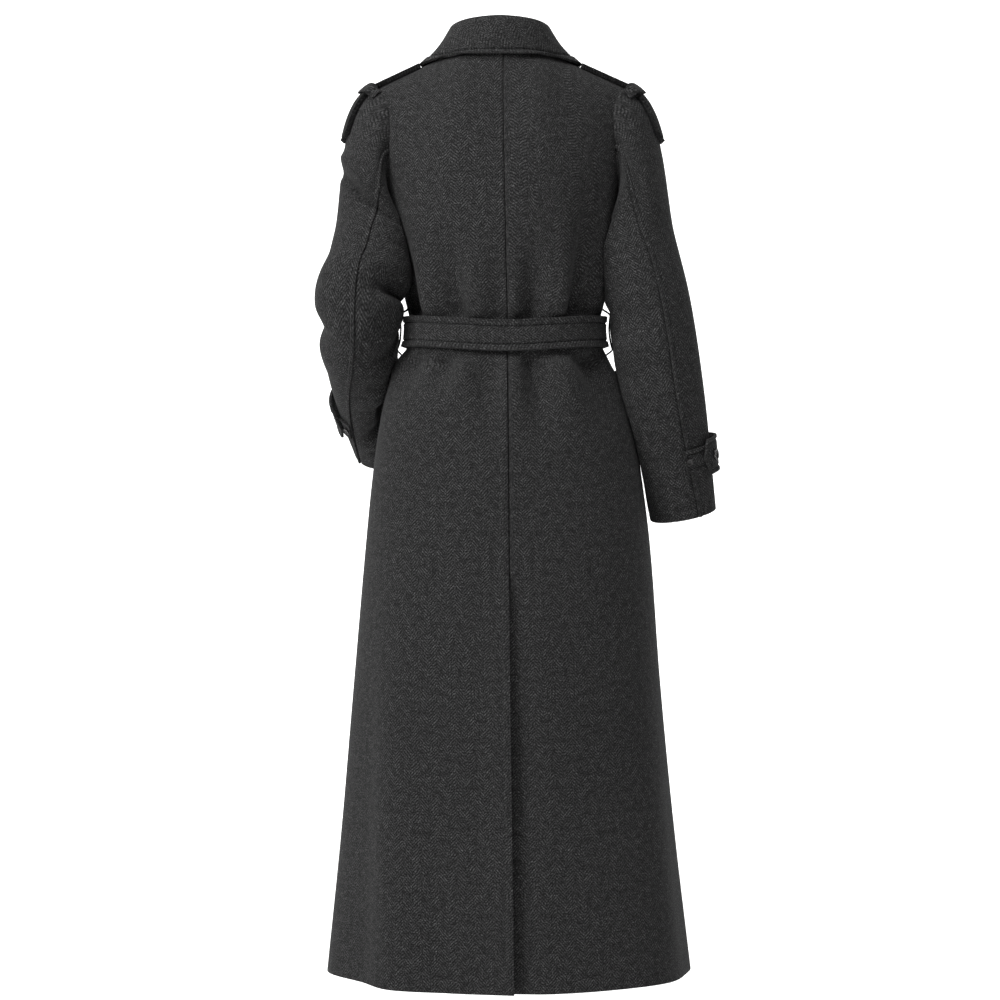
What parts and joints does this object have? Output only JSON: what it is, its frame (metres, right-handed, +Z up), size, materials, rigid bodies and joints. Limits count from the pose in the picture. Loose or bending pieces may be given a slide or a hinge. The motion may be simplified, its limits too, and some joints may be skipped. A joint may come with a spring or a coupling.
{
  "type": "long belted coat",
  "caption": "Long charcoal herringbone wool coat in its worn shape, empty, with a turned-down collar, shoulder straps, cuff straps, a tied belt and a back vent.",
  "frame": {"origin": "midway between the wearer's shoulders, on the level where the shoulder seams hold the coat up", "axes": "+Z up, +X to the wearer's left, -Y the way the wearer faces"},
  "size_m": [0.5673, 0.391, 1.3415],
  "materials": {
    "wool": "napped herringbone wool",
    "button": "polished dark horn"
  },
  "bodies": {
    "root": {"back_left": "wool", "back_right": "wool", "front_left": "wool", "front_right": "wool", "sleeve_left_upper": "wool", "sleeve_left_under": "wool", "sleeve_right_upper": "wool", "sleeve_right_under": "wool", "collar_stand": "wool", "collar_fall": "wool", "belt": "wool", "belt_knot": "wool", "epaulette_left": "wool", "epaulette_right": "wool", "epaulette_loop_left": "wool", "epaulette_loop_right": "wool", "belt_tail_left": "wool", "belt_tail_right": "wool", "belt_carrier_left": "wool", "belt_carrier_right": "wool", "cuff_strap_left": "wool", "cuff_strap_right": "wool", "cuff_tab_left": "wool", "cuff_tab_right": "wool", "pocket_welt_left": "wool", "pocket_welt_right": "wool", "tab_button_left": "button", "tab_button_right": "button", "strap_button_left": "button", "strap_button_right": "button"}
  },
  "joints": []
}
